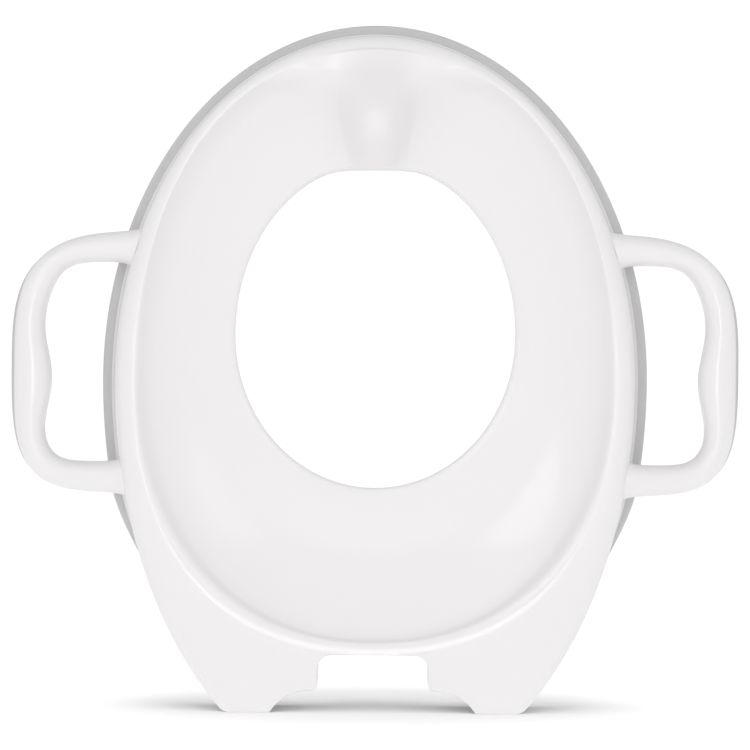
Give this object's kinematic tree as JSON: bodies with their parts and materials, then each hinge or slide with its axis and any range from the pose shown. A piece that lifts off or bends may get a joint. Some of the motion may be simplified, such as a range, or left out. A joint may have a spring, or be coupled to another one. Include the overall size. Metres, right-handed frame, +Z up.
{
  "type": "potty training seat",
  "caption": "Toddler seat that rests on an adult toilet: dished oval ring with splash nose, side handles, soft edge band and a tail with feet to stand on.",
  "frame": {"origin": "on the ground midway between the feet, under the middle of the seat's depth, with the seat standing upright on its tail", "axes": "+Z up from the feet to the seat's front edge, -Y the way the seating side faces, +X to the viewer's right along the line through both handles"},
  "size_m": [0.3664, 0.0725, 0.3459],
  "materials": {
    "white_plastic": "glossy",
    "grey_soft_edge": "satin",
    "grey_soft_grip": "satin"
  },
  "bodies": {
    "root": {"seat_shell": "white_plastic", "nonskid_edge": "grey_soft_edge", "left_grip": "grey_soft_grip", "right_grip": "grey_soft_grip"}
  },
  "joints": []
}
